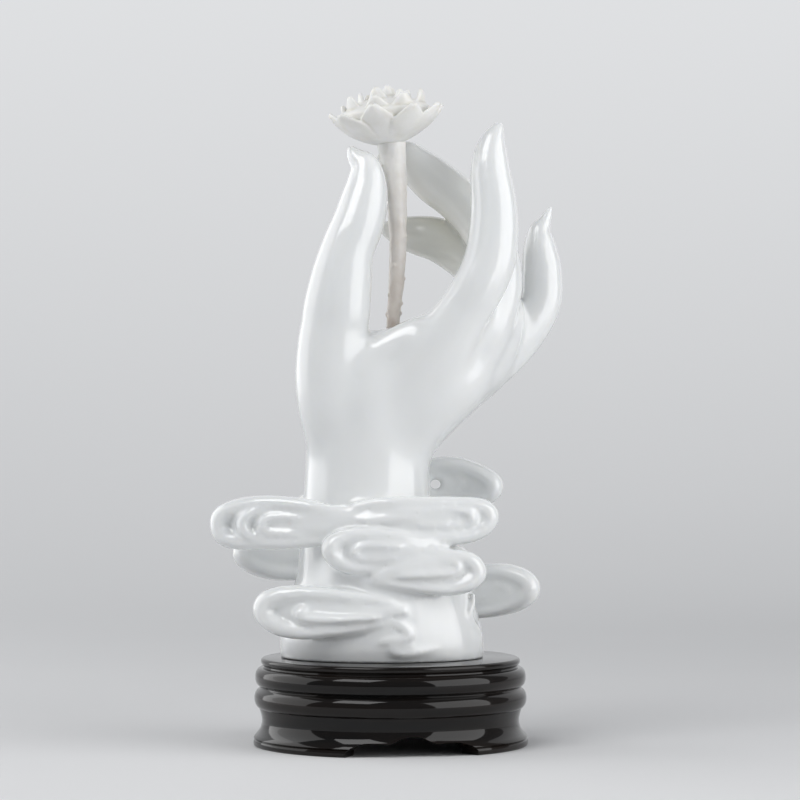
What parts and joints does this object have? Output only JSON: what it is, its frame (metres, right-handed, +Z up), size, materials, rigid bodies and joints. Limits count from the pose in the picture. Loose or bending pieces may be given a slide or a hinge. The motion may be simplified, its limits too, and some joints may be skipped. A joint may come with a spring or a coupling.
{
  "type": "lotus hand sculpture on a stand",
  "caption": "White glazed porcelain hand rising from scrolled clouds and holding a lotus, on a round black lacquered wooden stand.",
  "frame": {"origin": "under the middle of the whole object's box, on the surface it stands on; the stand's axis is 1.3 mm off it", "axes": "+Z up, -Y towards the side the hand is looked at from, -X the palm side, +X the back of the hand"},
  "size_m": [0.1714, 0.1318, 0.319],
  "materials": {
    "white_glaze": "glossy clear glaze over white porcelain",
    "cream_porcelain": "satin, lightly glazed cream porcelain",
    "black_lacquer": "high gloss black lacquer on turned wood"
  },
  "bodies": {
    "root": {"porcelain_hand": "white_glaze", "lotus": "cream_porcelain", "wooden_stand": "black_lacquer"}
  },
  "joints": []
}
